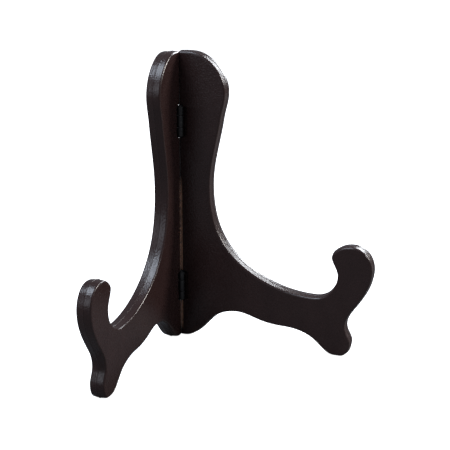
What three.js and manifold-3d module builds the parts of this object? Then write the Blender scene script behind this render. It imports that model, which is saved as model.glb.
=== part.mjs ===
// Folding display stand for a photo album: two flat moulded legs joined edge to edge by two small
// butt hinges. Millimetres, +Z up, the open side of the stand faces -Y.

import * as THREE from "three";
import { mergeVertices } from "three/addons/utils/BufferGeometryUtils.js";
import Module from "manifold-3d";

// ---- driving dimensions -------------------------------------------------------------------------

const opening = 90; // angle between the legs when the stand is open, degrees
const foldGap = 0.3; // space left between the two inner faces when the stand is folded
const stopGap = 0.3; // space left between the stop faces when the stand is open

const legThickness = 8.4;
const edgeInset = 1.3; // how far a leg's outline draws in from its middle to each face
const edgeDepth = 2.2; // the part of the thickness, by each face, where it draws in
const legTail = 1; // how far a leg's end reaches past the fold axis

const legHeight = 162.7;
const crownReach = 5; // to the highest place
const headReach = 26.4; // every reach is measured along a leg from the fold axis
const headDrop = 22.3; // from the crown down to the widest place of the head
const waistReach = 17.5;
const waistHeight = 89;
const hipReach = 24.5;
const hipHeight = 59.4;

const hookReach = 109.9;
const hookHeight = 63.2;
const hookBellyHeight = 50;
const hookTopInset = 11.8; // from the hook's front back to the top of its curl
const throatInset = 19.8; // from the hook's front back to the inside of the hook
const throatHeight = 45.8;
const valleyInset = 32.9;
const valleyHeight = 32.6;

const footInset = 11.1;
const ankleInset = 14.1;
const ankleHeight = 17.1;
const toeHeight = 8.1;
const soleInset = 17;
const soleLength = 3;
const instepInset = 31.2;
const bellyHeight = 12.8;
const archReach = 33.4;
const archHeight = 17.8;
const keelReach = 1.6;

const upperHingeHeight = 124.3;
const lowerHingeHeight = 30.4;
const hingeLength = 16;
const middleKnuckle = 6.4; // length of the knuckle that the left leaf carries
const knuckleRadius = 2;
const knuckleGap = 0.3;
const pinRadius = 0.8;
const pinClearance = 0.15;
const pinHeadRadius = 1.5;
const pinHeadHeight = 0.7;

const leafThickness = 0.7;
const leafOffset = 0.1; // from the fold axis to the leaf's outside face
const leafWidth = 6.4; // from the fold axis to the leaf's far edge
const leafClearance = 0.2;
const pocketReach = 3.8;
const pocketClearance = 0.4;
const pocketCorner = 1.2;

const screwSpacing = 10;
const screwInset = 1.95; // from the leaf's far edge to the screw's axis
const screwRadius = 0.7;
const screwLength = 6;
const screwHeadRadius = 1.35;
const screwHeadDepth = 0.55;
const screwSlotWidth = 0.35;
const screwSlotDepth = 0.25;
const screwClearance = 0.15;

const curvePieces = 6; // straight pieces in each span of a leg's outline
const roundSides = 20;
const screwSides = 12;

// ---- worked-out places --------------------------------------------------------------------------

const halfOpening = THREE.MathUtils.degToRad(opening / 2);
const innerFace = foldGap / 2;
const boreRadius = pinRadius + pinClearance;
const screwHoleRadius = screwRadius + screwClearance;
const screwOut = leafWidth - screwInset;
const plateStart = knuckleRadius + knuckleGap;
const pocketDepth = knuckleRadius + pocketClearance;
const outerKnuckle = (hingeLength - middleKnuckle) / 2 - knuckleGap;
const pinShoulder = hingeLength / 2 + pinClearance; // from the barrel's middle to a pin head's underside
const pinCrown = pinShoulder + pinHeadHeight;
const beyond = 10; // how far a cutting block runs past what it cuts

// ---- solids -------------------------------------------------------------------------------------

const wasm = await Module();
wasm.setup();

function solid(geometry) {
  const bare = geometry.clone();
  bare.deleteAttribute("normal");
  bare.deleteAttribute("uv");
  const merged = mergeVertices(bare, 1e-4);
  const vertProperties = new Float32Array(merged.attributes.position.array);
  const triVerts = new Uint32Array(merged.index.array);
  return new wasm.Manifold(new wasm.Mesh({ numProp: 3, vertProperties, triVerts }));
}

function geometryOf(body) {
  const mesh = body.getMesh();
  const geometry = new THREE.BufferGeometry();
  geometry.setAttribute("position", new THREE.BufferAttribute(mesh.vertProperties, 3));
  geometry.setIndex(new THREE.BufferAttribute(mesh.triVerts, 1));
  geometry.computeVertexNormals();
  return geometry;
}

// A block between two corners, given in a leg's own frame: reach, height, and out from the fold plane.
function block(low, high) {
  const size = high.map((value, i) => value - low[i]);
  const geometry = new THREE.BoxGeometry(...size);
  geometry.translate(...low.map((value, i) => value + size[i] / 2));
  return geometry;
}

// A round body whose profile of [radius, height] pairs turns about the fold axis.
function turned(profile, sides = roundSides) {
  const points = profile.map(([radius, height]) => new THREE.Vector2(radius, height));
  return new THREE.LatheGeometry(points, sides);
}

// ---- a leg's outline ----------------------------------------------------------------------------

const between = (from, to, share) => from + (to - from) * share;

// Places that the pen passes through, from the crown round the hook and foot to the keel:
// reach, height, and the heading in degrees. The first is past the end, which is cut square.
function outlinePlaces() {
  const valley = hookReach - valleyInset;
  const instep = hookReach - instepInset;
  const sole = hookReach - soleInset;
  const headHeight = legHeight - headDrop;
  const throat = hookReach - throatInset;
  return [
    [-legTail - edgeInset, legHeight - 0.4, 6],
    [crownReach, legHeight, 0],
    [headReach - 12.6, legHeight - 2.35, -30],
    [headReach, headHeight, -90],
    [between(waistReach, headReach, 0.69), between(waistHeight, headHeight, 0.72), -99],
    [waistReach, waistHeight, -90],
    [hipReach, hipHeight, -59],
    [between(hipReach, valley, 0.43), between(valleyHeight, hipHeight, 0.26), -26],
    [valley, valleyHeight, 0],
    [throat, throatHeight, 90],
    [throat - 3.5, hookHeight - 7.9, 102],
    [throat + 0.8, hookHeight - 1.7, 33],
    [hookReach - hookTopInset, hookHeight, 0],
    [hookReach, hookBellyHeight, -90],
    [hookReach - footInset, between(ankleHeight, hookBellyHeight, 0.26), -125],
    [hookReach - ankleInset, ankleHeight, -90],
    [hookReach - footInset, toeHeight, -90],
    [sole, 0, -180],
    [sole - soleLength, 0, -180],
    [instep, 7, -220],
    [between(archReach, instep, 0.59), bellyHeight, -181],
    [between(archReach, instep, 0.315), between(bellyHeight, archHeight, 0.31), -194],
    [archReach, archHeight, -180],
    [archReach - 15, archHeight - 5.8, -135],
    [keelReach, 0, -180],
  ];
}

// Joins two places with a curve that leaves and arrives along their headings; where the headings
// allow a circle's arc, it is one.
function addSpan(shape, [x0, y0, heading0], [x1, y1, heading1]) {
  const chord = new THREE.Vector2(x1 - x0, y1 - y0);
  const start = THREE.MathUtils.degToRad(heading0);
  const end = THREE.MathUtils.degToRad(heading1);
  const leave = new THREE.Vector2(Math.cos(start), Math.sin(start));
  const arrive = new THREE.Vector2(Math.cos(end), Math.sin(end));
  const turn = chord.angleTo(leave) + chord.angleTo(arrive);
  const pull = chord.length() / (3 * Math.cos(turn / 4) ** 2);
  shape.bezierCurveTo(
    x0 + leave.x * pull,
    y0 + leave.y * pull,
    x1 - arrive.x * pull,
    y1 - arrive.y * pull,
    x1,
    y1,
  );
}

function legOutline() {
  const places = outlinePlaces();
  const [start, crown] = places[0];
  const shape = new THREE.Shape();
  shape.moveTo(start, 0);
  shape.lineTo(start, crown);
  places.slice(1).forEach((place, i) => {
    const level = place[1] === places[i][1];
    if (level) shape.lineTo(place[0], place[1]);
    else addSpan(shape, places[i], place);
  });
  return shape;
}

// ---- pieces, each in a leg's own frame ----------------------------------------------------------
// x is the reach from the fold axis, y the height, and z * side the way out from the fold plane.

function legBlank(side) {
  const geometry = new THREE.ExtrudeGeometry(legOutline(), {
    depth: legThickness - innerFace - 2 * edgeDepth,
    curveSegments: curvePieces,
    bevelSegments: 3,
    bevelSize: edgeInset,
    bevelThickness: edgeDepth,
    bevelOffset: -edgeInset,
  });
  geometry.translate(0, 0, innerFace + edgeDepth);
  if (side < 0) geometry.translate(0, 0, -(legThickness + innerFace));
  const past = block([-beyond, -beyond, -beyond], [-legTail, legHeight + beyond, beyond]);
  return solid(geometry).subtract(solid(past));
}

// Takes away what lies past the plane midway between the legs, which leaves the stop face.
function stopCutter(side) {
  const geometry = block([-beyond, -beyond, -beyond], [0, legHeight + beyond, beyond]);
  geometry.translate(stopGap / 2, 0, 0);
  geometry.rotateY(-side * (Math.PI / 2 - halfOpening));
  return solid(geometry);
}

function pocketCutter(side, height) {
  const low = height - pinCrown - pocketClearance;
  const high = height + pinCrown + pocketClearance;
  const shape = new THREE.Shape();
  shape.moveTo(-beyond, low);
  shape.lineTo(pocketReach - pocketCorner, low);
  shape.quadraticCurveTo(pocketReach, low, pocketReach, low + pocketCorner);
  shape.lineTo(pocketReach, high - pocketCorner);
  shape.quadraticCurveTo(pocketReach, high, pocketReach - pocketCorner, high);
  shape.lineTo(-beyond, high);
  const geometry = new THREE.ExtrudeGeometry(shape, {
    depth: pocketDepth + beyond,
    curveSegments: 4,
    bevelEnabled: false,
  });
  geometry.translate(0, 0, side > 0 ? -beyond : -pocketDepth);
  return solid(geometry);
}

function leafCutter(side, height) {
  const reach = leafOffset + leafThickness + leafClearance;
  const half = hingeLength / 2 + leafClearance;
  const out = [side * pocketDepth * 0.5, side * (leafWidth + leafClearance)].sort((a, b) => a - b);
  return solid(block([-beyond, height - half, out[0]], [reach, height + half, out[1]]));
}

const screwHeights = (height) => [height + screwSpacing / 2, height - screwSpacing / 2];

// A round body about a screw's axis, from a profile of [radius, reach past the leaf's face] pairs.
function alongScrew(side, height, profile) {
  const geometry = turned(profile, screwSides);
  geometry.rotateZ(-Math.PI / 2);
  geometry.translate(leafOffset, height, side * screwOut);
  return solid(geometry);
}

function pilotHole(side, height) {
  const depth = screwLength + screwClearance;
  return alongScrew(side, height, [
    [0, -beyond],
    [screwHoleRadius, -beyond],
    [screwHoleRadius, depth],
    [0, depth + screwHoleRadius],
  ]);
}

function leg(side) {
  let body = legBlank(side).subtract(stopCutter(side));
  for (const height of [upperHingeHeight, lowerHingeHeight]) {
    body = body.subtract(pocketCutter(side, height)).subtract(leafCutter(side, height));
    for (const place of screwHeights(height)) body = body.subtract(pilotHole(side, place));
  }
  return geometryOf(body);
}

function knuckle(low, high) {
  const ease = 0.25;
  return solid(
    turned([
      [pinRadius * 0.5, low],
      [knuckleRadius - ease, low],
      [knuckleRadius, low + ease],
      [knuckleRadius, high - ease],
      [knuckleRadius - ease, high],
      [pinRadius * 0.5, high],
      [pinRadius * 0.5, low],
    ]),
  );
}

// A leaf: its plate, the knuckles of the stretches it holds, and two countersunk holes.
function leaf(side, height, stretches) {
  const half = hingeLength / 2;
  const inside = leafOffset + leafThickness;
  const plate = [side * plateStart, side * leafWidth].sort((a, b) => a - b);
  const neck = [side * (boreRadius + 0.35), side * (plateStart + 0.4)].sort((a, b) => a - b);
  let body = solid(block([leafOffset, height - half, plate[0]], [inside, height + half, plate[1]]));
  for (const [low, high] of stretches) {
    body = body.add(knuckle(low, high));
    body = body.add(solid(block([leafOffset, low, neck[0]], [inside, high, neck[1]])));
  }
  const bore = turned([
    [0, height - half - 1],
    [boreRadius, height - half - 1],
    [boreRadius, height + half + 1],
    [0, height + half + 1],
  ]);
  body = body.subtract(solid(bore));
  for (const place of screwHeights(height)) {
    const head = screwHeadRadius + screwClearance;
    body = body.subtract(
      alongScrew(side, place, [
        [0, -1],
        [head, -1],
        [head, 0.05],
        [screwHoleRadius, screwHeadDepth],
        [screwHoleRadius, leafThickness + 1],
        [0, leafThickness + 1],
      ]),
    );
  }
  return geometryOf(body);
}

// The stretches of the barrel: the middle one for the left leaf, the outer two for the right leaf.
function stretchesOf(side, height) {
  const middle = middleKnuckle / 2;
  if (side > 0) return [[height - middle, height + middle]];
  const start = middle + knuckleGap;
  return [
    [height + start, height + start + outerKnuckle],
    [height - start - outerKnuckle, height - start],
  ];
}

function pin(height) {
  return turned([
    [0, height - pinCrown],
    [pinHeadRadius * 0.7, height - pinCrown + 0.2],
    [pinHeadRadius, height - pinShoulder - 0.2],
    [pinHeadRadius, height - pinShoulder],
    [pinRadius, height - pinShoulder],
    [pinRadius, height + pinShoulder],
    [pinHeadRadius, height + pinShoulder],
    [pinHeadRadius, height + pinShoulder + 0.2],
    [pinHeadRadius * 0.7, height + pinCrown - 0.2],
    [0, height + pinCrown],
  ]);
}

function screw(side, height) {
  const shank = alongScrew(side, height, [
    [0, 0.05],
    [screwHeadRadius, 0.05],
    [screwHeadRadius, 0.15],
    [screwRadius, screwHeadDepth + 0.1],
    [screwRadius, screwLength - 1.5],
    [0, screwLength],
  ]);
  const out = side * screwOut;
  const low = [leafOffset - 1, height - screwHeadRadius, out - screwSlotWidth / 2];
  const high = [leafOffset + screwSlotDepth, height + screwHeadRadius, out + screwSlotWidth / 2];
  return geometryOf(shank.subtract(solid(block(low, high))));
}

// ---- assembly -----------------------------------------------------------------------------------

const paint = (color, roughness, metalness) =>
  new THREE.MeshStandardMaterial({ color, roughness, metalness });
const legPlastic = paint(0x1f1c1d, 0.55, 0);
const hingeSteel = paint(0x17161a, 0.4, 0.6);
const pinSteel = paint(0x3c3b40, 0.3, 0.9);
const screwSteel = paint(0x2a292d, 0.35, 0.8);

function addMesh(parent, name, geometry, material) {
  const mesh = new THREE.Mesh(geometry, material);
  mesh.name = name;
  parent.add(mesh);
}

const stand = new THREE.Group();
const sides = [
  { name: "right", side: -1 },
  { name: "left", side: 1 },
];
const hinges = [
  { name: "upper", height: upperHingeHeight },
  { name: "lower", height: lowerHingeHeight },
];

for (const { name, side } of sides) {
  const half = new THREE.Group();
  half.rotation.set(Math.PI / 2, 0, -Math.PI / 2 - side * halfOpening, "ZYX");
  addMesh(half, `${name}_leg`, leg(side), legPlastic);
  for (const hinge of hinges) {
    const stretches = stretchesOf(side, hinge.height);
    addMesh(half, `${hinge.name}_hinge_${name}_leaf`, leaf(side, hinge.height, stretches), hingeSteel);
    screwHeights(hinge.height).forEach((height, i) => {
      addMesh(half, `${hinge.name}_hinge_${name}_screw_${i + 1}`, screw(side, height), screwSteel);
    });
    if (name === "right") addMesh(half, `${hinge.name}_hinge_pin`, pin(hinge.height), pinSteel);
  }
  stand.add(half);
}

// The origin is the middle of the footprint, on the surface that the stand rests on.
const reach = new THREE.Box3().setFromObject(stand, true);
const middle = reach.getCenter(new THREE.Vector3());
stand.position.set(-middle.x, -middle.y, -reach.min.z);

export default stand;
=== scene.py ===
"""Folding album stand: two moulded legs, two small butt hinges and their screws.

Metres, +Z up, the open side of the stand faces -Y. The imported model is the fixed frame; every piece
here takes its place from it and rides on one of its two bodies.
"""

import math

import bmesh
import bpy
from bpy.props import FloatProperty, FloatVectorProperty, IntProperty, PointerProperty
from mathutils import Matrix, Vector


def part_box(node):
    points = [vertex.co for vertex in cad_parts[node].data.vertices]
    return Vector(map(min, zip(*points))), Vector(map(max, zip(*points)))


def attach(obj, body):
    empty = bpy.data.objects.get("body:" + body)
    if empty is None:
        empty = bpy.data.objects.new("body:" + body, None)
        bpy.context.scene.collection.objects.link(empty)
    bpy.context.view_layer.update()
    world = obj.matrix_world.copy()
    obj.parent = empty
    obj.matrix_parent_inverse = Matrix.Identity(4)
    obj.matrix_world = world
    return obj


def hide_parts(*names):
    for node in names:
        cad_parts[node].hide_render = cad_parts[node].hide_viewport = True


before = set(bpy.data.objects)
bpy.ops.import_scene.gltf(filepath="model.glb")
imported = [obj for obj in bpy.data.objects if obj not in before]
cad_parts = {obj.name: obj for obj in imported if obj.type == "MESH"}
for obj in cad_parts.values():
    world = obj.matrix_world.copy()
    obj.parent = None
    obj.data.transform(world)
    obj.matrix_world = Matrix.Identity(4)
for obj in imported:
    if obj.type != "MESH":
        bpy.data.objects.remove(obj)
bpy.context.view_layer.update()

bl_info = {
    "name": "Folding Album Stand",
    "version": (1, 0, 0),
    "blender": (4, 5, 0),
    "location": "View3D > Sidebar > Album Stand",
    "description": "Builds a folding album stand: moulded legs, rolled hinges, pins and screws",
    "category": "Add Mesh",
}

MM = 0.001
FULL_TURN = 2 * math.pi
HALF_TURN = math.pi
SQUARE = math.pi / 2
EIGHTH_TURN = math.pi / 4
LEAN = math.sqrt(0.5)  # a leg stands midway between X and Y
WHITE = (1.0, 1.0, 1.0, 1.0)
BLACK = (0.0, 0.0, 0.0, 1.0)
LEGS = {"right": 1, "left": -1}  # the side of the fold line, along X, that each leg stands on
HINGES = ("upper", "lower")
HOLDS_PIN = "right"  # the leg whose leaves carry the two outer knuckles

NEAREST_POINTS = 2e-7  # points closer than this are merged
NEAREST_LEVELS = 0.012 * MM  # rings of a leg closer than this are made one
PAST_FACE = 4 * MM  # how far a cutting body starts outside a leg's face
PAST_END = 6 * MM  # the same, outside a leg's end
HEAD_ROOM = 0.25 * MM  # round a pin's head
SCREW_ROOM = 0.15 * MM  # round and past a screw's shank
HOLE_ROOM = 0.1 * MM  # round a screw in its leaf
ROUND_SIDES = 40
BORE_SIDES = 28

END_FALL = 0.4 * MM  # the head's end, below the crown
SHOULDER_INSET, SHOULDER_DROP = 12.6 * MM, 2.35 * MM
CURL_BACK, CURL_DROP = 3.5 * MM, 7.9 * MM
LIP_FORWARD, LIP_DROP = 0.8 * MM, 1.7 * MM
INSTEP_HEIGHT = 7 * MM
LOBE_BACK, LOBE_DROP = 15 * MM, 5.8 * MM

CAMERA_AIM = (11.87, 1.57, 72.86)  # millimetres
CAMERA_DISTANCE = 590 * MM
CAMERA_ANGLES = (-24.356, 15.670, 0.10)  # azimuth, elevation and roll, degrees
CAMERA_LENS = 88.30
LAMP_AIM = (0.0, 0.0, 0.08)
LAMPS = (  # name, place, side, power, colour
    ("top_lamp", (-0.50, 0.04, 1.12), 0.62, 12.0, (0.78, 0.87, 1.0)),
    ("key_lamp", (0.92, -0.16, 0.46), 0.24, 7.5, (1.0, 0.96, 0.92)),
    ("rim_lamp", (0.62, -0.54, 0.62), 0.08, 1.8, (0.94, 0.97, 1.0)),
    ("back_lamp", (0.90, 0.57, 0.50), 0.46, 9.5, (0.93, 0.96, 1.0)),
    ("side_lamp", (-0.92, -0.36, 0.46), 0.50, 1.6, (0.85, 0.90, 1.0)),
)
FLOOR_REACH = 12.0
FLOOR_RETURN = 0.16  # share of the floor's colour that lights the stand
FLOOR_GLOW = 0.97  # the floor's own light, seen by the camera only
AIR_LIGHT, AIR_SEEN = 0.22, 1.0  # the air as it lights the stand, and as the camera sees it
AIR_COLOUR = (0.84, 0.91, 1.0, 1.0)


# ---- sizes and colours -----------------------------------------------------------------------


def length(name, description, millimetres):
    """A length that the user may change, with its default in millimetres."""
    return FloatProperty(
        name=name,
        description=description,
        default=millimetres * MM,
        precision=5,
        subtype="DISTANCE",
        unit="LENGTH",
    )


def tint(name, description, red, green, blue):
    """A linear colour that the user may change."""
    return FloatVectorProperty(
        name=name,
        description=description,
        default=(red, green, blue),
        size=3,
        min=0.0,
        max=1.0,
        subtype="COLOR",
    )


class StandOutlineSizes(bpy.types.PropertyGroup):
    """The leg's outline. A reach is measured along the leg from the fold line."""

    tail: length("Tail", "How far the end reaches past the fold line", 1.0)
    height: length("Height", "Crown above the table", 162.7)
    crown_reach: length("Crown Reach", "Highest place of the head", 5.0)
    head_reach: length("Head Reach", "Widest place of the head", 26.4)
    head_drop: length("Head Drop", "Crown down to the widest place of the head", 22.3)
    waist_reach: length("Waist Reach", "Narrowest place", 17.5)
    waist_height: length("Waist Height", "Height of the narrowest place", 89.0)
    hip_reach: length("Hip Reach", "Where the front edge turns out to the arm", 24.5)
    hip_height: length("Hip Height", "Height of that turn", 59.4)
    hook_reach: length("Hook Reach", "Front of the hook", 109.9)
    hook_height: length("Hook Height", "Top of the hook's curl", 63.2)
    hook_belly: length("Hook Belly", "Height of the hook's foremost place", 50.0)
    hook_top_inset: length("Hook Top Inset", "Hook's front back to its top", 11.8)
    throat_inset: length("Throat Inset", "Hook's front back to its inside", 19.8)
    throat_height: length("Throat Height", "Height of the hook's inside", 45.8)
    valley_inset: length("Valley Inset", "Hook's front back to the lowest place of the arm", 32.9)
    valley_height: length("Valley Height", "Lowest place of the arm's upper edge", 32.6)
    foot_inset: length("Foot Inset", "Hook's front back to the toe", 11.1)
    ankle_inset: length("Ankle Inset", "Hook's front back to the ankle", 14.1)
    ankle_height: length("Ankle Height", "Height of the ankle", 17.1)
    toe_height: length("Toe Height", "Height of the toe", 8.1)
    sole_inset: length("Sole Inset", "Hook's front back to the sole", 17.0)
    sole_length: length("Sole Length", "Flat of the sole", 3.0)
    instep_inset: length("Instep Inset", "Hook's front back to the instep", 31.2)
    belly_height: length("Belly Height", "Underside of the arm", 12.8)
    arch_reach: length("Arch Reach", "Top of the arch", 33.4)
    arch_height: length("Arch Height", "Height of the arch", 17.8)
    keel_reach: length("Keel Reach", "Where the keel's flat underside starts", 1.6)
    step: length("Step", "Distance between points of the outline", 1.0)


class StandEdgeSizes(bpy.types.PropertyGroup):
    """The section through a leg's edge, and through its end at the fold line."""

    thickness: length("Thickness", "Leg's thickness, measured from the fold plane", 8.4)
    face_gap: length("Face Gap", "Fold plane to the inner face", 0.15)
    rounding: length("Rounding", "Radius where the edge meets a face", 1.0)
    draft: length("Draft", "How far the edge leans in from its middle to the rounding", 0.45)
    ridge_width: length("Ridge Width", "Parting ridge along the middle of the edge", 0.5)
    ridge_height: length("Ridge Height", "How far the parting ridge stands out", 0.16)
    support: length("Face Border", "Flat border inside the rounding", 0.8)
    stop_gap: length("Stop Gap", "Middle plane to the stop face", 0.15)
    stop_rounding: length("Stop Rounding", "Radius along the stop face's edges", 0.45)
    tail_rounding: length("Tail Rounding", "Radius along the end's outer corner", 0.5)
    corner_rounding: length("Corner Rounding", "Radius at the end's top and bottom", 0.5)


class StandHingeSizes(bpy.types.PropertyGroup):
    """The hinges, their pockets and screws."""

    plate_length: length("Length", "Leaf, along the fold line", 16.0)
    middle_knuckle: length("Middle Knuckle", "Length of the middle knuckle", 6.4)
    knuckle_radius: length("Knuckle Radius", "Outside of the barrel", 2.0)
    knuckle_gap: length("Knuckle Gap", "Between knuckles", 0.3)
    bore_radius: length("Bore Radius", "Inside of the barrel", 0.95)
    pin_radius: length("Pin Radius", "Shank of the pin", 0.8)
    pin_head_radius: length("Pin Head Radius", "Head of the pin", 1.5)
    pin_head_height: length("Pin Head Height", "Head of the pin above the barrel", 0.7)
    plate_offset: length("Leaf Offset", "Fold line to the leaf's outside face", 0.1)
    plate_thickness: length("Leaf Thickness", "Sheet of the leaf", 0.7)
    plate_width: length("Leaf Width", "Fold line to the leaf's far edge", 6.4)
    plate_corner: length("Leaf Corner", "Radius of the leaf's far corners", 0.7)
    seam: length("Seam", "Opening where the rolled sheet meets the leaf", 0.12)
    edge: length("Leaf Edge", "Broken edge of the sheet", 0.07)
    clearance: length("Leaf Clearance", "Room round the leaf", 0.2)
    pocket_reach: length("Pocket Reach", "Barrel's pocket, along the leg", 3.8)
    pocket_depth: length("Pocket Depth", "Barrel's pocket, into the leg", 2.4)
    pocket_room: length("Pocket Room", "Room past the pin's heads", 0.3)
    pocket_corner: length("Pocket Corner", "Radius of the pocket's corners", 1.2)
    pocket_flare: length("Pocket Flare", "Rounding round the pocket's mouth", 0.4)


class StandScrewSizes(bpy.types.PropertyGroup):
    """The countersunk screws."""

    spacing: length("Spacing", "Between the two screws of a leaf", 10.0)
    inset: length("Inset", "Leaf's far edge to the screw's axis", 1.95)
    head_radius: length("Head Radius", "Countersunk head", 1.35)
    head_depth: length("Head Depth", "Depth of the head's cone", 0.55)
    shank_radius: length("Shank Radius", "Shank", 0.7)
    reach: length("Length", "Whole screw", 6.0)
    slot_width: length("Slot Width", "Driver slot", 0.35)
    slot_depth: length("Slot Depth", "Driver slot", 0.25)
    sides: IntProperty(name="Sides", description="Sides of the round shapes", default=28, min=8)


class StandFinishes(bpy.types.PropertyGroup):
    """The colours of the materials."""

    plastic: tint("Plastic", "Moulded plastic", 0.0255, 0.0120, 0.0112)
    plastic_light: tint("Plastic Swirl", "Lighter swirl in the plastic", 0.034, 0.0168, 0.0155)
    # Painted light: a pale warm colour laid along the stop faces, standing for light seen through the
    # slit between the legs.
    bare_and_slit_light: tint("Painted Slit Light", "Painted light along the slit between the legs", 0.40, 0.23, 0.16)
    lacquer: tint("Lacquer", "Black lacquer of the hinge leaves", 0.012, 0.011, 0.012)
    worn_steel: tint("Worn Steel", "Steel where the lacquer has worn off", 0.42, 0.40, 0.38)
    pin_steel: tint("Pin Steel", "Pins", 0.035, 0.034, 0.036)
    screw_steel: tint("Screw Steel", "Screws", 0.10, 0.095, 0.10)
    floor: tint("Floor", "Studio floor", 0.86, 0.86, 0.87)


# ---- places taken from the frame -------------------------------------------------------------


def hinge_centre(hinge):
    """Middle of a hinge's barrel on the fold line."""
    low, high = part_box(f"{hinge}_hinge_pin")
    return (low + high) / 2


FOLD = hinge_centre("upper")


def placed(side, reach, height, out):
    """A point given along a leg, up, and out from the fold plane, as a point of the frame."""
    across = (reach + out) * LEAN
    back = (out - reach) * LEAN
    return Vector((side * across, FOLD.y + back, height))


# ---- mesh helpers ----------------------------------------------------------------------------


def link(name, mesh):
    """A new object of that mesh, in the scene."""
    item = bpy.data.objects.new(name, mesh)
    bpy.context.scene.collection.objects.link(item)
    return item


def mesh_from_rings(name, rings):
    """A closed body from rings of points; the first and last ring are filled."""
    shape = bmesh.new()
    rows = [[shape.verts.new(point) for point in ring] for ring in rings]
    for here, there in zip(rows, rows[1:]):
        for i in range(len(here)):
            j = (i + 1) % len(here)
            shape.faces.new((here[i], here[j], there[j], there[i]))
    shape.faces.new(list(reversed(rows[0])))
    shape.faces.new(rows[-1])
    bmesh.ops.recalc_face_normals(shape, faces=shape.faces)
    mesh = bpy.data.meshes.new(name)
    shape.to_mesh(mesh)
    shape.free()
    return mesh


def settle(item):
    """Applies the item's modifiers to its mesh."""
    bpy.context.view_layer.update()
    graph = bpy.context.evaluated_depsgraph_get()
    mesh = bpy.data.meshes.new_from_object(item.evaluated_get(graph), depsgraph=graph)
    item.modifiers.clear()
    item.data = mesh


def carve(item, tools, operation="DIFFERENCE"):
    """Cuts the tool meshes out of the item, or joins them to it."""
    for mesh in tools:
        tool = link("tool", mesh)
        cut = item.modifiers.new("cut", "BOOLEAN")
        cut.operation = operation
        cut.solver = "MANIFOLD"
        cut.object = tool
        settle(item)
        bpy.data.objects.remove(tool)


def smooth(item, degrees):
    """Smooth faces, with a crease where two meet at more than that angle."""
    mesh = item.data
    mesh.shade_smooth()
    mesh.set_sharp_from_angle(angle=math.radians(degrees))


def tidy(item):
    """Merges points that a cut left on top of each other."""
    shape = bmesh.new()
    shape.from_mesh(item.data)
    bmesh.ops.remove_doubles(shape, verts=shape.verts, dist=NEAREST_POINTS)
    bmesh.ops.dissolve_degenerate(shape, edges=shape.edges, dist=NEAREST_POINTS)
    shape.to_mesh(item.data)
    shape.free()


def arc(turn, steps):
    """Shares of sine and cosine along a part of a circle: (1 - cos, sin) at even steps."""
    angles = [turn * i / steps for i in range(steps + 1)]
    return [(1 - math.cos(angle), math.sin(angle)) for angle in angles]


def sampled(places, at):
    """Value at a position, between the places of a list of (position, value) in rising order."""
    if at <= places[0][0]:
        return places[0][1]
    for (start, first), (end, last) in zip(places, places[1:]):
        if at <= end:
            return first if end == start else first + (last - first) * (at - start) / (end - start)
    return places[-1][1]


# ---- the legs --------------------------------------------------------------------------------


def between(start, end, share):
    """A value part of the way from start to end."""
    return start + (end - start) * share


def outline_places(size, run_out):
    """Places on a leg's outline with the heading in degrees, from the crown round to the keel."""
    valley = size.hook_reach - size.valley_inset
    throat = size.hook_reach - size.throat_inset
    instep = size.hook_reach - size.instep_inset
    sole = size.hook_reach - size.sole_inset
    toe = size.hook_reach - size.foot_inset
    head_height = size.height - size.head_drop
    neck_reach = between(size.waist_reach, size.head_reach, 0.69)
    neck_height = between(size.waist_height, head_height, 0.72)
    slope_reach = between(size.hip_reach, valley, 0.43)
    slope_height = between(size.valley_height, size.hip_height, 0.26)
    shin_height = between(size.ankle_height, size.hook_belly, 0.26)
    belly_reach = between(size.arch_reach, instep, 0.59)
    swell_reach = between(size.arch_reach, instep, 0.315)
    swell_height = between(size.belly_height, size.arch_height, 0.31)
    return [
        (-size.tail - run_out, size.height - END_FALL, 6),
        (size.crown_reach, size.height, 0),
        (size.head_reach - SHOULDER_INSET, size.height - SHOULDER_DROP, -30),
        (size.head_reach, head_height, -90),
        (neck_reach, neck_height, -99),
        (size.waist_reach, size.waist_height, -90),
        (size.hip_reach, size.hip_height, -59),
        (slope_reach, slope_height, -26),
        (valley, size.valley_height, 0),
        (throat, size.throat_height, 90),
        (throat - CURL_BACK, size.hook_height - CURL_DROP, 102),
        (throat + LIP_FORWARD, size.hook_height - LIP_DROP, 33),
        (size.hook_reach - size.hook_top_inset, size.hook_height, 0),
        (size.hook_reach, size.hook_belly, -90),
        (toe, shin_height, -125),
        (size.hook_reach - size.ankle_inset, size.ankle_height, -90),
        (toe, size.toe_height, -90),
        (sole, 0, -180),
        (sole - size.sole_length, 0, -180),
        (instep, INSTEP_HEIGHT, -220),
        (belly_reach, size.belly_height, -181),
        (swell_reach, swell_height, -194),
        (size.arch_reach, size.arch_height, -180),
        (size.arch_reach - LOBE_BACK, size.arch_height - LOBE_DROP, -135),
        (size.keel_reach, 0, -180),
    ]


def span(start, end, step):
    """Points of a curve that leaves and arrives along its headings, without its last point."""
    first, last = Vector(start[:2]), Vector(end[:2])
    chord = last - first
    pieces = max(4, round(chord.length / step))
    shares = [i / pieces for i in range(pieces)]
    if start[1] == end[1]:
        return [first + chord * share for share in shares]
    leave = Vector((math.cos(math.radians(start[2])), math.sin(math.radians(start[2]))))
    arrive = Vector((math.cos(math.radians(end[2])), math.sin(math.radians(end[2]))))
    turn = chord.angle(leave) + chord.angle(arrive)
    pull = chord.length / (3 * math.cos(turn / 4) ** 2)
    near, far = first + leave * pull, last - arrive * pull
    points = []
    for t in shares:
        s = 1 - t
        points.append(first * s**3 + near * 3 * s * s * t + far * 3 * s * t * t + last * t**3)
    return points


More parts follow.
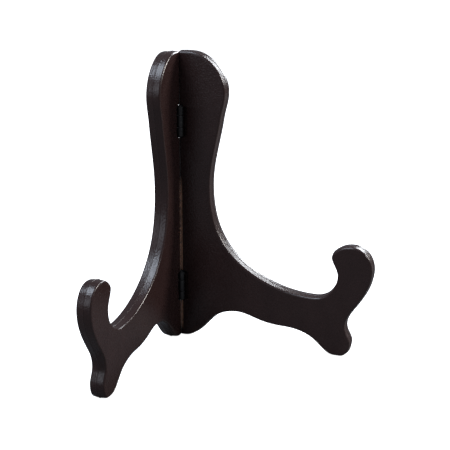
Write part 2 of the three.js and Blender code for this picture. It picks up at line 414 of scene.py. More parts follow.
class Outline:
    """A leg's outline as points and inward directions, and how many points its crown has."""

    def __init__(self, size, run_out):
        places = outline_places(size, run_out)
        spans = [span(a, b, size.step) for a, b in zip(places, places[1:])]
        self.crown = len(spans[0])
        self.points = [point for part in spans for point in part]
        self.points.append(Vector(places[-1][:2]))
        self.inward = []
        last = len(self.points) - 1
        for i in range(len(self.points)):
            ahead = self.points[min(i + 1, last)] - self.points[max(i - 1, 0)]
            self.inward.append(Vector((ahead.y, -ahead.x)).normalized())
        self.inward[0] = Vector((0, -1))
        self.inward[-1] = Vector((0, 1))

    def ring(self, inset, end, corner):
        """The outline drawn in by inset, closed by a straight end with rounded corners."""
        moved = [p + d * inset for p, d in zip(self.points, self.inward)]
        crown = [(p.x, p.y) for p in moved[: self.crown + 1]]
        start, finish = end + corner, moved[self.crown].x
        top = []
        for i in range(self.crown):
            reach = between(start, finish, i / self.crown)
            top.append(Vector((reach, sampled(crown, reach))))
        peak, base = top[0].y, moved[-1].y
        steps = 4
        quarter = [SQUARE * i / steps for i in range(steps)]
        rise = [
            Vector((start - corner * math.cos(a), peak - corner + corner * math.sin(a)))
            for a in quarter
        ]
        fall = [
            Vector((start - corner * math.sin(a), base + corner - corner * math.cos(a)))
            for a in quarter
        ]
        close = Vector((end, base + corner))
        return rise + top + moved[self.crown :] + fall + [close]


def edge_profile(size):
    """Inset of the outline against the way out from the fold plane, from face to face."""
    low, high = size.face_gap, size.thickness
    middle = (low + high) / 2
    half = []
    for drop, run in arc(SQUARE, 8):
        half.append((low + size.rounding * drop, size.draft + size.rounding * (1 - run)))
    shoulder = half[-1][0]
    foot = middle - size.ridge_width / 2
    for share in (0.25, 0.5, 0.75):
        at = between(shoulder, foot, share)
        half.append((at, between(size.draft, size.ridge_height, share)))
    half.append((foot, size.ridge_height))
    half.append((foot + size.ridge_width * 0.16, size.ridge_height * 0.45))
    half.append((foot + size.ridge_width * 0.30, size.ridge_height * 0.08))
    half.append((middle - size.ridge_width * 0.08, 0.0))
    mirrored = [(low + high - at, inset) for at, inset in reversed(half)]
    return half + mirrored


def end_profile(size, tail):
    """Reach of a leg's end against the way out from the fold plane, from face to face."""
    low, high = size.face_gap, size.thickness
    stop = size.stop_gap / LEAN
    small = size.stop_rounding
    tangent = small * math.tan(EIGHTH_TURN / 2)
    places = []
    corner = Vector((low, stop - low))
    for drop, run in arc(EIGHTH_TURN, 4):
        places.append((corner.x + small * drop, corner.y + tangent - small * run))
    knee = Vector((stop + tail, -tail))
    centre = Vector((knee.x + tangent, -tail + small))
    for i in range(5):
        angle = EIGHTH_TURN * (1 - i / 4)
        places.append((centre.x - small * math.sin(angle), centre.y - small * math.cos(angle)))
    big = size.tail_rounding
    for i in range(6):
        angle = SQUARE * i / 5
        places.append((high - big + big * math.sin(angle), big - tail - big * math.cos(angle)))
    return places


def leg_levels(size, tail):
    """Each ring's way out, inset and end, from the inner face to the outer face."""
    edges, ends = edge_profile(size), end_profile(size, tail)
    ways = sorted({round(at, 8) for at, _ in edges + ends})
    kept = [ways[0]]
    for way in ways[1:]:
        if way - kept[-1] > NEAREST_LEVELS:
            kept.append(way)
    levels = [(way, sampled(edges, way), sampled(ends, way)) for way in kept]
    border = size.support
    inner, outer = levels[0], levels[-1]
    levels.insert(0, (inner[0], inner[1] + border, inner[2] + border))
    levels.append((outer[0], outer[1] + border, outer[2] + border))
    return levels


def rounded_box(low, high, radius, corners, spread=0.0):
    """Points round a rectangle; corners says which of its four corners are rounded."""
    x0, y0 = low[0] - spread, low[1] - spread
    x1, y1 = high[0] + spread, high[1] + spread
    turn = max(radius + spread, 0.02 * MM)
    centres = ((x1, y1, -1, -1), (x0, y1, 1, -1), (x0, y0, 1, 1), (x1, y0, -1, 1))
    points = []
    for i, (x, y, sx, sy) in enumerate(centres):
        if not corners[i]:
            points.append((x, y))
            continue
        for k in range(7):
            angle = SQUARE * (i + k / 6)
            cx, cy = x + sx * turn, y + sy * turn
            points.append((cx + turn * math.cos(angle), cy + turn * math.sin(angle)))
    return points


def tool_from(side, rings):
    """A cutting body from rings of (reach, height, out)."""
    return mesh_from_rings("tool", [[placed(side, *p) for p in ring] for ring in rings])


def head_bore(side, centre, hinge, pin_reach):
    """The round room for the pin's heads, past the ends of the barrel's pocket."""
    radius = hinge.pin_head_radius + HEAD_ROOM
    turns = [FULL_TURN * k / ROUND_SIDES for k in range(ROUND_SIDES)]
    rings = []
    for share in (-1, 1):
        height = centre + share * (pin_reach + hinge.pocket_room)
        rings.append([(radius * math.cos(a), height, radius * math.sin(a)) for a in turns])
    return tool_from(side, rings)


def pocket_tool(side, centre, hinge, face):
    """The room for a hinge's barrel, with a rounded mouth and floor."""
    half = hinge.plate_length / 2 + hinge.clearance
    low, high = (-PAST_END, centre - half), (hinge.pocket_reach, centre + half)
    flare, fillet = hinge.pocket_flare, 0.35 * MM
    levels = [(-PAST_FACE, flare)]
    levels += [(face + flare * a, flare * (1 - b)) for a, b in arc(SQUARE, 6)]
    bottom = hinge.pocket_depth - fillet
    levels += [(bottom + fillet * b, -fillet * a) for a, b in arc(SQUARE, 5)]
    rings = []
    for out, spread in levels:
        flat = rounded_box(low, high, hinge.pocket_corner, (1, 0, 0, 1), spread)
        rings.append([(reach, height, out) for reach, height in flat])
    return tool_from(side, rings)


def mortise_tool(side, centre, hinge, tail):
    """The recess in a leg's end that a leaf lies in."""
    room = hinge.clearance
    half = hinge.plate_length / 2 + room
    low = (centre - half, hinge.pocket_depth / 2)
    high = (centre + half, hinge.plate_width + room)
    bottom = hinge.plate_offset + hinge.plate_thickness + room
    flare = 0.2 * MM
    levels = [(-PAST_END, flare)]
    levels += [(flare * a - tail, flare * (1 - b)) for a, b in arc(SQUARE, 4)]
    levels.append((bottom, 0.0))
    rings = []
    for reach, spread in levels:
        flat = rounded_box(low, high, hinge.plate_corner + room, (1, 1, 0, 0), spread)
        rings.append([(reach, height, out) for height, out in flat])
    return tool_from(side, rings)


def bored(side, centre, out, profile):
    """A round body along a screw's axis, from (radius, reach) pairs."""
    rings = []
    for radius, reach in profile:
        ring = []
        for k in range(BORE_SIDES):
            angle = FULL_TURN * k / BORE_SIDES
            ring.append((reach, centre + radius * math.cos(angle), out + radius * math.sin(angle)))
        rings.append(ring)
    return tool_from(side, rings)


def screw_heights(hinge_name, screw):
    """Heights of a leaf's two screws."""
    centre = hinge_centre(hinge_name).z
    return (centre + screw.spacing / 2, centre - screw.spacing / 2)


def mark_surface(item, side, edge):
    """Stores where a line of light is painted in by the stop face, and where its rim is polished."""
    mesh = item.data
    painted_slit_light = mesh.attributes.new("painted_slit_light", "FLOAT", "POINT")
    polished = mesh.attributes.new("polished", "FLOAT", "POINT")
    # Painted light: 1 on the stop face next to the fold line, fading out away from it; it marks where
    # a line of light is painted in, as if seen through the slit.
    starts, fades = 0.16 * MM, 0.6 * MM
    values, shares = [], []
    for vertex in mesh.vertices:
        x, y, z = vertex.co
        out = (side * x + (y - FOLD.y)) * LEAN
        reach = (side * x - (y - FOLD.y)) * LEAN
        near = max(0.0, 1.0 - max(0.0, side * x - starts) / fades)
        values.append(near if reach < 2 * MM and out < 3 * MM else 0.0)
        depth = (min(out - edge.face_gap, edge.thickness - out)) / edge.rounding
        share = math.sin(HALF_TURN * min(1.0, max(0.0, depth * 1.15)))
        shares.append(math.sqrt(max(0.0, share)))
    painted_slit_light.data.foreach_set("value", values)
    polished.data.foreach_set("value", shares)


def build_leg(name, side, sizes):
    """One moulded leg: its drawn-in edges, stop face, hinge pockets, recesses and pilot holes."""
    outline_size, edge, hinge, screw = sizes
    tail = outline_size.tail
    outline = Outline(outline_size, edge.rounding + edge.draft)
    rings = []
    for out, inset, end in leg_levels(edge, tail):
        ring = outline.ring(inset, end, edge.corner_rounding)
        rings.append([placed(side, p.x, p.y, out) for p in ring])
    leg = link(f"{name}_leg_moulding", mesh_from_rings(f"{name}_leg_moulding", rings))
    pin_low, pin_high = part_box("upper_hinge_pin")
    pin_reach = (pin_high.z - pin_low.z) / 2
    screw_out = hinge.plate_width - screw.inset
    hole = screw.shank_radius + SCREW_ROOM
    tools = []
    for hinge_name in HINGES:
        centre = hinge_centre(hinge_name).z
        tools.append(pocket_tool(side, centre, hinge, edge.face_gap))
        tools.append(head_bore(side, centre, hinge, pin_reach))
        tools.append(mortise_tool(side, centre, hinge, tail))
        for height in screw_heights(hinge_name, screw):
            depth = screw.reach + SCREW_ROOM
            profile = [(hole, -2 * MM), (hole, depth), (hole * 0.1, depth + hole)]
            tools.append(bored(side, height, screw_out, profile))
    carve(leg, tools)
    tidy(leg)
    smooth(leg, 32)
    mark_surface(leg, side, edge)
    return leg


# ---- the hinges ------------------------------------------------------------------------------


def rolled_section(hinge):
    """Section of a knuckle as (out, reach): the sheet rolled round the pin, with its open seam."""
    outer, bore = hinge.knuckle_radius, hinge.bore_radius
    near = hinge.plate_offset
    far = near + hinge.plate_thickness
    seam = near - hinge.seam
    start = math.asin(near / bore)
    stop = FULL_TURN + math.asin(seam / bore)
    joined = 3.0 * MM
    points = [(joined, near)]
    for k in range(41):
        angle = between(start, stop, k / 40)
        points.append((bore * math.cos(angle), bore * math.sin(angle)))
    lip = 0.12 * MM
    points.append((outer - lip, seam))
    leave = FULL_TURN + math.asin((seam - lip) / outer)
    arrive = math.asin(far / outer) + 0.16
    for k in range(49):
        angle = between(leave, arrive, k / 48)
        points.append((outer * math.cos(angle), outer * math.sin(angle)))
    points.append((outer, far + 0.07 * MM))
    points.append((outer * 1.12, far))
    points.append((joined, far))
    return points


def knuckle_stretches(name, centre, hinge):
    """Low and high ends of the knuckles on a leg's leaf."""
    middle = hinge.middle_knuckle / 2
    if name != HOLDS_PIN:
        return [(centre - middle, centre + middle)]
    start, end = middle + hinge.knuckle_gap, hinge.plate_length / 2
    return [(centre + start, centre + end), (centre - end, centre - start)]


def build_leaf(hinge_name, name, side, sizes):
    """One hinge leaf: plate, rolled knuckles and countersunk holes."""
    hinge, screw = sizes
    centre = hinge_centre(hinge_name).z
    half = hinge.plate_length / 2
    near = hinge.plate_offset
    far = near + hinge.plate_thickness
    start = hinge.knuckle_radius + hinge.knuckle_gap
    low, high = (centre - half, start), (centre + half, hinge.plate_width)
    soft = hinge.edge
    rings = []
    levels = ((near, -soft), (near + soft * 0.3, -soft * 0.3), (near + soft, 0.0))
    levels += tuple((near + far - reach, spread) for reach, spread in reversed(levels))
    for reach, spread in levels:
        flat = rounded_box(low, high, hinge.plate_corner, (1, 1, 0, 0), spread)
        rings.append([placed(side, reach, height, out) for height, out in flat])
    title = f"{hinge_name}_hinge_{name}_plate"
    leaf = link(title, mesh_from_rings(title, rings))
    section = rolled_section(hinge)
    knuckles = []
    for bottom, top in knuckle_stretches(name, centre, hinge):
        rings = [[placed(side, reach, z, out) for out, reach in section] for z in (bottom, top)]
        knuckles.append(mesh_from_rings("knuckle", rings))
    carve(leaf, knuckles, "UNION")
    head, hole = screw.head_radius + HOLE_ROOM, screw.shank_radius + HOLE_ROOM
    out = hinge.plate_width - screw.inset
    cone = near + screw.head_depth
    profile = [(head, near - MM), (head, near + 0.04 * MM), (hole, cone), (hole, far + MM)]
    heights = screw_heights(hinge_name, screw)
    carve(leaf, [bored(side, height, out, profile) for height in heights])
    bevel = leaf.modifiers.new("broken_edges", "BEVEL")
    bevel.width = soft
    bevel.segments = 2
    bevel.limit_method = "ANGLE"
    bevel.angle_limit = math.radians(50)
    settle(leaf)
    tidy(leaf)
    smooth(leaf, 40)
    return leaf


def build_pin(hinge_name, hinge):
    """One hinge pin: a shank with a domed head at each end."""
    middle = hinge_centre(hinge_name)
    low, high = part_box(f"{hinge_name}_hinge_pin")
    crown = (high.z - low.z) / 2
    shoulder = crown - hinge.pin_head_height
    rim = shoulder + 0.14 * MM
    profile = [(hinge.pin_radius, 0.0), (hinge.pin_radius, shoulder)]
    profile.append((hinge.pin_head_radius - 0.08 * MM, shoulder))
    profile.append((hinge.pin_head_radius, shoulder + 0.06 * MM))
    for k in range(9):
        angle = SQUARE * k / 8 * 0.97
        dome = rim + (crown - rim) * math.sin(angle)
        profile.append((hinge.pin_head_radius * math.cos(angle), dome))
    profile.append((0.02 * MM, crown))
    both = [(radius, -up) for radius, up in reversed(profile)] + profile[1:]
    rings = []
    for radius, up in both:
        turns = [FULL_TURN * k / ROUND_SIDES for k in range(ROUND_SIDES)]
        rings.append(
            [middle + Vector((radius * math.cos(a), radius * math.sin(a), up)) for a in turns]
        )
    title = f"{hinge_name}_hinge_rivet_pin"
    pin = link(title, mesh_from_rings(title, rings))
    smooth(pin, 40)
    return pin


# ---- nodes -----------------------------------------------------------------------------------


def feed(links, socket, value):
    """Links an input to another socket, or sets its value."""
    if isinstance(value, bpy.types.NodeSocket):
        links.new(value, socket)
    else:
        socket.default_value = value


class NodeBuilder:
    """Adds nodes to a tree."""

    def __init__(self, tree):
        self.nodes, self.links = tree.nodes, tree.links

    def add(self, kind, values=None, **settings):
        """A node with its settings, and its inputs linked or set by name or number."""
        node = self.nodes.new(kind)
        for key, value in settings.items():
            setattr(node, key, value)
        for key, value in (values or {}).items():
            feed(self.links, node.inputs[key], value)
        return node

    def maths(self, operation, first, second):
        """The result of a sum on two sockets or numbers."""
        return self.add("ShaderNodeMath", {0: first, 1: second}, operation=operation).outputs[0]


# ---- the screws ------------------------------------------------------------------------------


class Tree(NodeBuilder):
    """A geometry node tree under construction."""

    def __init__(self, name, inputs):
        self.tree = bpy.data.node_groups.new(name, "GeometryNodeTree")
        super().__init__(self.tree)
        face = self.tree.interface
        face.new_socket("Geometry", in_out="INPUT", socket_type="NodeSocketGeometry")
        self.identifiers = {}
        for title, kind in inputs:
            socket = face.new_socket(title, in_out="INPUT", socket_type=kind)
            self.identifiers[title] = socket.identifier
        face.new_socket("Geometry", in_out="OUTPUT", socket_type="NodeSocketGeometry")
        self.given = self.tree.nodes.new("NodeGroupInput").outputs
        self.result = self.tree.nodes.new("NodeGroupOutput").inputs


def screw_tree():
    """Turns points into countersunk screws that lie along an axis, each slot turned at random."""
    number, vector = "NodeSocketFloat", "NodeSocketVector"
    tree = Tree(
        "countersunk_screws",
        [
            ("Axis", vector),
            ("Head Radius", number),
            ("Head Depth", number),
            ("Shank Radius", number),
            ("Length", number),
            ("Slot Width", number),
            ("Slot Depth", number),
            ("Sides", "NodeSocketInt"),
            ("Seed", "NodeSocketInt"),
            ("Material", "NodeSocketMaterial"),
        ],
    )
    given = tree.given
    rim = tree.maths("MULTIPLY", given["Head Depth"], 0.18)
    cone_depth = tree.maths("SUBTRACT", given["Head Depth"], rim)
    head, thin = given["Head Radius"], given["Shank Radius"]

    def cone(top, bottom, depth):
        values = {"Vertices": given["Sides"], "Radius Top": top, "Radius Bottom": bottom}
        return tree.add("GeometryNodeMeshCone", {**values, "Depth": depth}).outputs["Mesh"]

    crown = cone(tree.maths("SUBTRACT", head, rim), head, rim)
    sink = cone(head, thin, cone_depth)
    shank = cone(thin, tree.maths("MULTIPLY", thin, 0.15), given["Length"])

    def lowered(mesh, height):
        place = tree.add("ShaderNodeCombineXYZ", {"Z": height}).outputs[0]
        moved = tree.add("GeometryNodeTransform", {"Geometry": mesh, "Translation": place})
        return moved.outputs[0]

    cone_place = tree.maths("MULTIPLY", tree.maths("ADD", rim, cone_depth), -1.0)
    parts = [
        lowered(crown, tree.maths("MULTIPLY", rim, -1.0)),
        lowered(sink, cone_place),
        lowered(shank, tree.maths("MULTIPLY", given["Length"], -1.0)),
    ]
    body = tree.add("GeometryNodeMeshBoolean", operation="UNION", solver="EXACT")
    for part in parts:
        tree.links.new(part, body.inputs["Mesh 2"])
    wide = tree.maths("MULTIPLY", given["Head Radius"], 3.0)
    tall = tree.maths("MULTIPLY", given["Slot Depth"], 2.0)
    size = tree.add("ShaderNodeCombineXYZ", {"X": wide, "Y": given["Slot Width"], "Z": tall})
    slot = tree.add("GeometryNodeMeshCube", {"Size": size.outputs[0]})
    cut = tree.add(
        "GeometryNodeMeshBoolean",
        {"Mesh 1": body.outputs["Mesh"], "Mesh 2": slot.outputs["Mesh"]},
        operation="DIFFERENCE",
        solver="EXACT",
    )
    turn = tree.add(
        "FunctionNodeRandomValue",
        {2: 0.0, 3: FULL_TURN, "Seed": given["Seed"]},
        data_type="FLOAT",
    )
    aim = tree.add("FunctionNodeAlignRotationToVector", {"Vector": given["Axis"]}, axis="Z")
    spin = tree.add("ShaderNodeCombineXYZ", {"Z": turn.outputs[1]})
    turned = tree.add("FunctionNodeEulerToRotation", {0: spin.outputs[0]})
    rotation = tree.add(
        "FunctionNodeRotateRotation",
        {"Rotation": aim.outputs[0], "Rotate By": turned.outputs[0]},
        rotation_space="LOCAL",
    )
    copies = tree.add(
        "GeometryNodeInstanceOnPoints",
        {"Points": given["Geometry"], "Instance": cut.outputs[0], "Rotation": rotation.outputs[0]},
    )
    solid = tree.add("GeometryNodeRealizeInstances", {"Geometry": copies.outputs[0]})
    painted = tree.add(
        "GeometryNodeSetMaterial",
        {"Geometry": solid.outputs[0], "Material": given["Material"]},
    )
    tree.links.new(painted.outputs[0], tree.result[0])
    return tree


def build_screws(name, side, sizes, material, seed):
    """The four screws of one leg as a single mesh."""
    hinge, screw = sizes
    out = hinge.plate_width - screw.inset
    sunk = hinge.plate_offset + 0.05 * MM
    points = bpy.data.meshes.new(f"{name}_screws")
    heights = [z for hinge_name in HINGES for z in screw_heights(hinge_name, screw)]
    points.from_pydata([placed(side, sunk, z, out) for z in heights], [], [])
    item = link(f"{name}_leg_screws", points)
    tree = screw_tree()
    change = item.modifiers.new("screws", "NODES")
    change.node_group = tree.tree
    away = placed(side, -1, 0, 0) - placed(side, 0, 0, 0)
    values = {
        "Axis": away[:],
        "Head Radius": screw.head_radius,
        "Head Depth": screw.head_depth,
        "Shank Radius": screw.shank_radius,
        "Length": screw.reach,
        "Slot Width": screw.slot_width,
        "Slot Depth": screw.slot_depth,
        "Sides": screw.sides,
        "Seed": seed,
        "Material": material,
    }
    for title, value in values.items():
        change[tree.identifiers[title]] = value
    settle(item)
    painted(item, material)
    tidy(item)
    smooth(item, 35)
    return item


# ---- materials -------------------------------------------------------------------------------


class Shade(NodeBuilder):
    """A material under construction, with its Principled shader."""

    def __init__(self, name):
        self.material = bpy.data.materials.new(name)
        self.material.use_nodes = True
        super().__init__(self.material.node_tree)
        self.shader = self.nodes["Principled BSDF"]
        self.place = self.nodes.new("ShaderNodeTexCoord").outputs["Object"]

    def noise(self, size, detail=3.0, rough=0.55, stretch=None):
        """Noise from 0 to 1 with features of about that size."""
        place = self.place
        if stretch:
            place = self.add("ShaderNodeMapping", {"Vector": place, "Scale": stretch}).outputs[0]
        values = {"Vector": place, "Scale": 1 / size, "Detail": detail, "Roughness": rough}
        return self.add("ShaderNodeTexNoise", values).outputs[0]

    def cells(self, size, soft=0.6):
        """Rounded pebbles of about that size, from 0 in their middle."""
        values = {"Vector": self.place, "Scale": 1 / size, "Smoothness": soft}
        return self.add("ShaderNodeTexVoronoi", values, feature="SMOOTH_F1").outputs["Distance"]

    def ramp(self, value, low, high, start=0.0, end=1.0):
        """The value taken from one range to another, held at its ends."""
        values = {0: value, 1: low, 2: high, 3: start, 4: end}
        return self.add("ShaderNodeMapRange", values).outputs[0]

    def mix(self, share, first, second):
        """A colour between two, by a share."""
        values = {0: share, 6: first, 7: second}
        return self.add("ShaderNodeMix", values, data_type="RGBA").outputs[2]

    def bump(self, height, distance, strength, normal=None):
        """A bump of that depth, on top of another if one is given."""
        values = {"Height": height, "Distance": distance, "Strength": strength}
        if normal is not None:
            values["Normal"] = normal
        return self.add("ShaderNodeBump", values).outputs[0]

    def finish(self, **inputs):
        """Links or sets the shader's inputs, named with underscores for spaces."""
        for key, value in inputs.items():
            feed(self.links, self.shader.inputs[key.replace("_", " ")], value)
        return self.material


def opaque(colour):
    """A colour as red, green, blue and full alpha."""
    return (*colour, 1.0)


def plastic_material(finish):
    """Satin moulded plastic, dark brown-black, with a fine pebble grain."""
    shade = Shade("moulded_plastic")
    swirl = shade.ramp(shade.noise(14 * MM, 4.0, 0.6, (1.0, 1.0, 0.45)), 0.35, 0.70)
    speck = shade.ramp(shade.noise(0.5 * MM, 2.0), 0.45, 0.75)
    colour = shade.mix(swirl, opaque(finish.plastic), opaque(finish.plastic_light))
    darker = tuple(part * 0.72 for part in finish.plastic)
    colour = shade.mix(speck, colour, opaque(darker))
    # Painted light: a pale warm line along the stop faces stands for light seen through the slit
    # between the legs; it is kept between about 4–8 mm and 84–94 mm high and dimmed in patches by
    # noise.
    painted_slit_light = shade.add("ShaderNodeAttribute", attribute_name="painted_slit_light").outputs["Fac"]
    height = shade.add("ShaderNodeSeparateXYZ", {"Vector": shade.place}).outputs["Z"]
    below = shade.ramp(height, 94 * MM, 84 * MM)
    above = shade.ramp(height, 4 * MM, 8 * MM)
    patchy = shade.ramp(shade.noise(3 * MM, 3.0), 0.30, 0.50, 0.35, 1.0)
    wear_and_slit_light = shade.maths("MULTIPLY", shade.ramp(painted_slit_light, 0.05, 0.35), patchy)
    wear_and_slit_light = shade.maths("MULTIPLY", wear_and_slit_light, shade.maths("MULTIPLY", below, above))
    colour = shade.mix(wear_and_slit_light, colour, opaque(finish.bare_and_slit_light))
    pebble_size, fine_size, flow_size = 0.9 * MM, 0.22 * MM, 9 * MM
    pebbles = shade.cells(pebble_size)
    fine = shade.noise(fine_size, 2.0)
    flow = shade.noise(flow_size, 2.0)
    polished = shade.add("ShaderNodeAttribute", attribute_name="polished").outputs["Fac"]
    grain = shade.ramp(polished, 0.0, 1.0, 0.9, 0.12)
    normal = shade.bump(pebbles, 0.09 * MM, grain)
    normal = shade.bump(fine, 0.018 * MM, 0.5, normal)
    normal = shade.bump(flow, 0.10 * MM, 0.5, normal)
    patches = shade.noise(5 * MM, 3.0)
    rough = shade.ramp(patches, 0.3, 0.7, 0.23, 0.30)
    rough = shade.maths("ADD", rough, shade.ramp(fine, 0.3, 0.7, -0.04, 0.05))
    rough = shade.maths("SUBTRACT", rough, shade.ramp(polished, 0.0, 1.0, 0.0, 0.05))
    return shade.finish(
        Base_Color=colour, Roughness=rough, Normal=normal, Specular_IOR_Level=0.42
    )


def metal_material(name, colour, wear_and_slit_light, size, rough, metallic, worn_share):
    """Lacquered or oiled steel, worn to bare metal in places."""
    shade = Shade(name)
    patch = shade.noise(size, 5.0, 0.65)
    bare_and_slit_light = shade.ramp(patch, 1 - worn_share, 1 - worn_share * 0.6)
    shift = shade.ramp(shade.noise(size * 3, 2.0), 0.3, 0.7, 0.8, 1.2)
    tone = shade.mix(shift, BLACK, opaque(colour))
    base = shade.mix(bare_and_slit_light, tone, opaque(wear_and_slit_light))
    scratches = shade.noise(0.12 * MM, 3.0, 0.6, (1.0, 1.0, 0.15))
    normal = shade.bump(scratches, 0.012 * MM, 0.35)
    normal = shade.bump(patch, 0.02 * MM, 0.3, normal)
    polish = shade.ramp(scratches, 0.3, 0.7, rough - 0.07, rough + 0.09)
    metal = shade.ramp(bare_and_slit_light, 0.0, 1.0, metallic, 1.0)
    return shade.finish(Base_Color=base, Roughness=polish, Normal=normal, Metallic=metal)


def painted(item, material):
    """Gives a piece its one material."""
    item.data.materials.clear()
    item.data.materials.append(material)


# ---- operators -------------------------------------------------------------------------------


class STAND_OT_add_legs(bpy.types.Operator):
    """Build the two moulded legs"""

    bl_idname = "stand.add_legs"
    bl_label = "Legs"

    def execute(self, context):
        scene = context.scene
        sizes = (scene.stand_outline, scene.stand_edge, scene.stand_hinge, scene.stand_screw)
        material = plastic_material(scene.stand_finish)
        for name, side in LEGS.items():
            leg = build_leg(name, side, sizes)
            painted(leg, material)
            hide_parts(f"{name}_leg")
            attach(leg, f"{name}_half")
        return {"FINISHED"}


class STAND_OT_add_leaves(bpy.types.Operator):
    """Build the four hinge leaves"""

    bl_idname = "stand.add_leaves"
    bl_label = "Hinge Leaves"

    def execute(self, context):
        scene = context.scene
        finish = scene.stand_finish
        sizes = (scene.stand_hinge, scene.stand_screw)
        material = metal_material(
            "black_lacquer", finish.lacquer, finish.worn_steel, 1.6 * MM, 0.36, 0.0, 0.36
        )
        for hinge_name in HINGES:
            for name, side in LEGS.items():
                leaf = build_leaf(hinge_name, name, side, sizes)
                painted(leaf, material)
                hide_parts(f"{hinge_name}_hinge_{name}_leaf")
                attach(leaf, f"{name}_half")
        return {"FINISHED"}


class STAND_OT_add_pins(bpy.types.Operator):
    """Build the two hinge pins"""

    bl_idname = "stand.add_pins"
    bl_label = "Hinge Pins"

    def execute(self, context):
        scene = context.scene
        finish = scene.stand_finish
        material = metal_material(
            "pin_steel", finish.pin_steel, finish.worn_steel, 1.2 * MM, 0.42, 0.6, 0.2
        )
        for hinge_name in HINGES:
            pin = build_pin(hinge_name, scene.stand_hinge)
            painted(pin, material)
            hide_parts(f"{hinge_name}_hinge_pin")
            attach(pin, f"{HOLDS_PIN}_half")
        return {"FINISHED"}


class STAND_OT_add_screws(bpy.types.Operator):
    """Build the eight countersunk screws"""

    bl_idname = "stand.add_screws"
    bl_label = "Screws"

    def execute(self, context):
        scene = context.scene
        finish = scene.stand_finish
        material = metal_material(
            "screw_steel", finish.screw_steel, finish.worn_steel, 1.0 * MM, 0.32, 0.7, 0.4
        )
        sizes = (scene.stand_hinge, scene.stand_screw)
        for seed, (name, side) in enumerate(LEGS.items(), start=3):
            screws = build_screws(name, side, sizes, material, seed)
            stands_for = [f"{h}_hinge_{name}_screw_{i}" for h in HINGES for i in (1, 2)]
            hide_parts(*stands_for)
            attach(screws, f"{name}_half")
        return {"FINISHED"}


def add_softbox(name, place, width, power, colour):
    """A square studio lamp at a place, turned to the stand."""
    lamp = bpy.data.lights.new(name, "AREA")
    lamp.shape = "RECTANGLE"
    lamp.size = lamp.size_y = width
    lamp.energy = power
    lamp.color = colour
    item = bpy.data.objects.new(name, lamp)
    bpy.context.scene.collection.objects.link(item)
    item.location = Vector(place)
    aim = Vector(LAMP_AIM) - Vector(place)
    item.rotation_euler = aim.to_track_quat("-Z", "Y").to_euler()


def add_floor(finish):
    """A wide pale studio floor: white and unshaded to the camera, darker in what it throws back."""
    reach = FLOOR_REACH
    shape = bmesh.new()
    corners = ((-reach, -reach), (reach, -reach), (reach, reach), (-reach, reach))
    shape.faces.new([shape.verts.new((x, y, 0.0)) for x, y in corners])
    mesh = bpy.data.meshes.new("studio_floor")
    shape.to_mesh(mesh)
    shape.free()
    floor = link("studio_floor", mesh)
    shade = Shade("studio_paper")
    seen = shade.add("ShaderNodeLightPath").outputs["Is Camera Ray"]
    dimmed = tuple(part * FLOOR_RETURN for part in finish.floor)
    tone = shade.mix(seen, opaque(dimmed), opaque(finish.floor))
    glow = shade.maths("MULTIPLY", seen, FLOOR_GLOW)
    shade.finish(Base_Color=tone, Roughness=0.9, Specular_IOR_Level=0.0)
    shade.finish(Emission_Color=WHITE, Emission_Strength=glow)
    painted(floor, shade.material)


def add_camera():
    """The camera, left of the middle and a little above, aimed at the stand."""
    aim = Vector(CAMERA_AIM) * MM
    azimuth, elevation, roll = (math.radians(angle) for angle in CAMERA_ANGLES)
    back = Vector(
        (
            math.sin(azimuth) * math.cos(elevation),
            -math.cos(azimuth) * math.cos(elevation),
            math.sin(elevation),
        )
    )
    data = bpy.data.cameras.new("camera")
    data.lens = CAMERA_LENS
    data.sensor_width = 36
    data.clip_start, data.clip_end = 0.05, 50
    camera = bpy.data.objects.new("camera", data)
    bpy.context.scene.collection.objects.link(camera)
    facing = (-back).to_track_quat("-Z", "Y").to_matrix() @ Matrix.Rotation(roll, 3, "Z")
    camera.matrix_world = Matrix.Translation(aim + back * CAMERA_DISTANCE) @ facing.to_4x4()
    bpy.context.scene.camera = camera


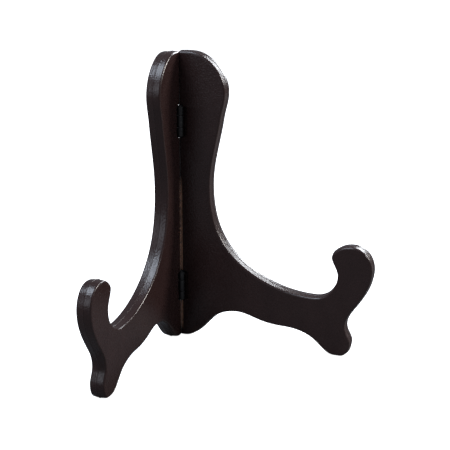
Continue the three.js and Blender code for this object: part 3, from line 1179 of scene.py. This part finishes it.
class STAND_OT_set_studio(bpy.types.Operator):
    """Set the floor, lamps and camera"""

    bl_idname = "stand.set_studio"
    bl_label = "Studio"

    def execute(self, context):
        scene = context.scene
        add_floor(scene.stand_finish)
        add_camera()
        for lamp in LAMPS:
            add_softbox(*lamp)
        world = bpy.data.worlds.new("studio_air")
        world.use_nodes = True
        air = world.node_tree.nodes["Background"]
        seen = world.node_tree.nodes.new("ShaderNodeLightPath").outputs["Is Camera Ray"]
        strength = world.node_tree.nodes.new("ShaderNodeMapRange")
        strength.inputs["To Min"].default_value = AIR_LIGHT
        strength.inputs["To Max"].default_value = AIR_SEEN
        air.inputs["Color"].default_value = AIR_COLOUR
        world.node_tree.links.new(seen, strength.inputs["Value"])
        world.node_tree.links.new(strength.outputs[0], air.inputs["Strength"])
        scene.world = world
        scene.view_settings.view_transform = "Standard"
        return {"FINISHED"}


class STAND_PT_sidebar(bpy.types.Panel):
    """The stand's pieces and sizes"""

    bl_idname = "STAND_PT_sidebar"
    bl_label = "Album Stand"
    bl_space_type = "VIEW_3D"
    bl_region_type = "UI"
    bl_category = "Album Stand"

    def draw(self, context):
        for operator in OPERATORS:
            self.layout.operator(operator.bl_idname)
        for title in SETTINGS:
            box = self.layout.box()
            settings = getattr(context.scene, title)
            for key in settings.__annotations__:
                box.prop(settings, key)


OPERATORS = (
    STAND_OT_add_legs,
    STAND_OT_add_leaves,
    STAND_OT_add_pins,
    STAND_OT_add_screws,
    STAND_OT_set_studio,
)
SETTINGS = {
    "stand_outline": StandOutlineSizes,
    "stand_edge": StandEdgeSizes,
    "stand_hinge": StandHingeSizes,
    "stand_screw": StandScrewSizes,
    "stand_finish": StandFinishes,
}


def register():
    """Adds the stand's settings, operators and panel."""
    for title, group in SETTINGS.items():
        bpy.utils.register_class(group)
        setattr(bpy.types.Scene, title, PointerProperty(type=group))
    for operator in OPERATORS:
        bpy.utils.register_class(operator)
    bpy.utils.register_class(STAND_PT_sidebar)


def unregister():
    """Takes them away again."""
    bpy.utils.unregister_class(STAND_PT_sidebar)
    for operator in reversed(OPERATORS):
        bpy.utils.unregister_class(operator)
    for title, group in reversed(SETTINGS.items()):
        delattr(bpy.types.Scene, title)
        bpy.utils.unregister_class(group)


def main():
    """Builds every piece and the studio."""
    register()
    bpy.ops.stand.add_legs()
    bpy.ops.stand.add_leaves()
    bpy.ops.stand.add_pins()
    bpy.ops.stand.add_screws()
    bpy.ops.stand.set_studio()


if __name__ == "__main__":
    main()
